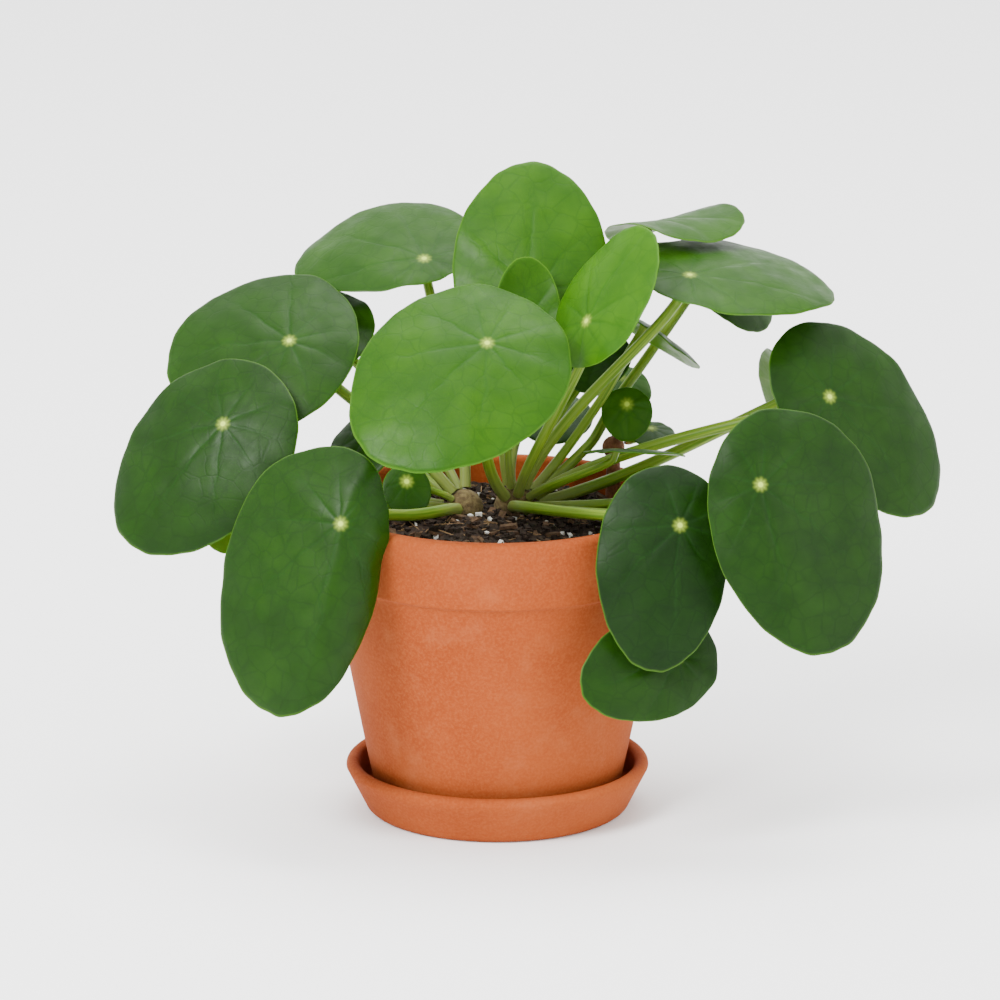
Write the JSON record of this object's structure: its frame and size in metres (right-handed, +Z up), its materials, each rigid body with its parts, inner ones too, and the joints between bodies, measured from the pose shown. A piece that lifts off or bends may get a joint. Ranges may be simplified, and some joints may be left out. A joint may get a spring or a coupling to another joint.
{
  "type": "potted pilea plant",
  "caption": "Round-leaved pilea house plant on long stalks, growing in a terracotta pot that stands on a saucer.",
  "frame": {"origin": "middle of the saucer's flat underside", "axes": "+Z up, +X to the viewer's right, +Y to the back"},
  "size_m": [0.326, 0.1899, 0.2495],
  "materials": {
    "terracotta": "matte",
    "potting_mix": "matte",
    "stem_bark": "matte",
    "leaf_green": "satin",
    "stalk_green": "satin"
  },
  "bodies": {
    "root": {"saucer": "terracotta", "pot": "terracotta", "soil": "potting_mix", "crown_main": "stem_bark", "crown_left": "stem_bark", "pup_stem": "stem_bark", "leaf_far_left": "leaf_green", "stalk_far_left": "stalk_green", "leaf_upper_left": "leaf_green", "stalk_upper_left": "stalk_green", "leaf_low_left": "leaf_green", "stalk_low_left": "stalk_green", "leaf_front": "leaf_green", "stalk_front": "stalk_green", "leaf_top_left": "leaf_green", "stalk_top_left": "stalk_green", "leaf_top": "leaf_green", "stalk_top": "stalk_green", "leaf_young_top": "leaf_green", "stalk_young_top": "stalk_green", "leaf_bright": "leaf_green", "stalk_bright": "stalk_green", "leaf_upper_right": "leaf_green", "stalk_upper_right": "stalk_green", "leaf_edge_right": "leaf_green", "stalk_edge_right": "stalk_green", "leaf_back_right": "leaf_green", "stalk_back_right": "stalk_green", "leaf_far_right": "leaf_green", "stalk_far_right": "stalk_green", "leaf_behind_far_right": "leaf_green", "stalk_behind_far_right": "stalk_green", "leaf_low_right": "leaf_green", "stalk_low_right": "stalk_green", "leaf_mid_right": "leaf_green", "stalk_mid_right": "stalk_green", "leaf_bottom_right": "leaf_green", "stalk_bottom_right": "stalk_green", "leaf_behind_upper_left": "leaf_green", "stalk_behind_upper_left": "stalk_green", "leaf_behind_far_left": "leaf_green", "stalk_behind_far_left": "stalk_green", "leaf_dark_left": "leaf_green", "stalk_dark_left": "stalk_green", "leaf_small_left": "leaf_green", "stalk_small_left": "stalk_green", "leaf_under_right": "leaf_green", "stalk_under_right": "stalk_green", "leaf_dark_mid": "leaf_green", "stalk_dark_mid": "stalk_green", "leaf_grey_mid": "leaf_green", "stalk_grey_mid": "stalk_green", "leaf_edge_low": "leaf_green", "stalk_edge_low": "stalk_green", "leaf_pup_oval": "leaf_green", "stalk_pup_oval": "stalk_green", "leaf_pup_round": "leaf_green", "stalk_pup_round": "stalk_green", "leaf_pup_flat": "leaf_green", "stalk_pup_flat": "stalk_green"}
  },
  "joints": []
}
